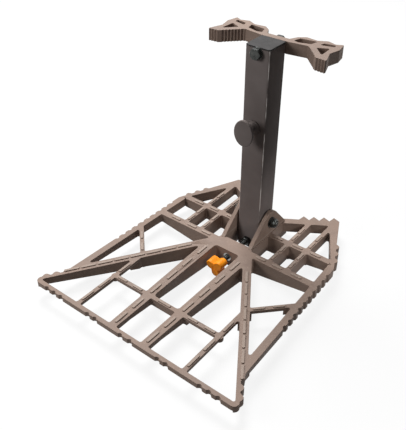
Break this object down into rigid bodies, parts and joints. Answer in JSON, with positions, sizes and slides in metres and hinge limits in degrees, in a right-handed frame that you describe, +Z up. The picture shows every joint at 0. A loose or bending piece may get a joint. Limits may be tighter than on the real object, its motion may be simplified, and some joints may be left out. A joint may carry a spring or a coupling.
{
  "type": "climbing tree stand",
  "caption": "Cast lattice foot platform hinged to a square post with a toothed tree bracket, a strap button and a levelling screw.",
  "frame": {"origin": "middle of the footprint at the level of the hub's flat underside", "axes": "+X across the platform to the right seen from its front edge, +Y from the front edge to the tree, +Z up the post"},
  "size_m": [0.4118, 0.4612, 0.388],
  "materials": {
    "tan_casting": "satin taupe powder coat",
    "dark_post": "satin dark taupe powder coat",
    "steel": "black zinc",
    "black_plastic": "matt",
    "orange_knob": "satin moulded"
  },
  "bodies": {
    "platform": {"deck_casting": "tan_casting", "screw_insert": "steel", "pivot_bolt": "steel", "pivot_nut": "steel", "pivot_washers": "steel", "thrust_washers": "steel"},
    "post": {"post_tube": "dark_post", "post_cap": "black_plastic", "foot_plug": "black_plastic", "pivot_bushing": "steel", "strap_button": "dark_post", "button_bolt": "steel", "button_washer": "steel", "tree_bracket": "tan_casting", "bracket_bolt": "steel", "bracket_washers": "steel", "bracket_nut": "steel", "crush_sleeve": "steel"},
    "level_screw": {"level_screw": "steel"},
    "level_knob": {"level_knob": "orange_knob"}
  },
  "joints": [
    {"name": "post_fold", "type": "hinge", "parent": "platform", "child": "post", "pos_m": [0, 0.11637, 0.061], "axis": [1, 0, 0], "range_deg": [0, 90]},
    {"name": "screw_travel", "type": "slide", "parent": "platform", "child": "level_screw", "axis": [0, 1, 0], "range_m": [-0.012, 0]},
    {"name": "knob_turn", "type": "hinge", "parent": "level_screw", "child": "level_knob", "pos_m": [0, -0.00063, 0.0185], "axis": [0, 1, 0], "range_deg": [-2880, 0]}
  ],
  "couplings": [
    {"joint": "knob_turn", "follows": "screw_travel", "rad_per_m": 4188.8}
  ]
}
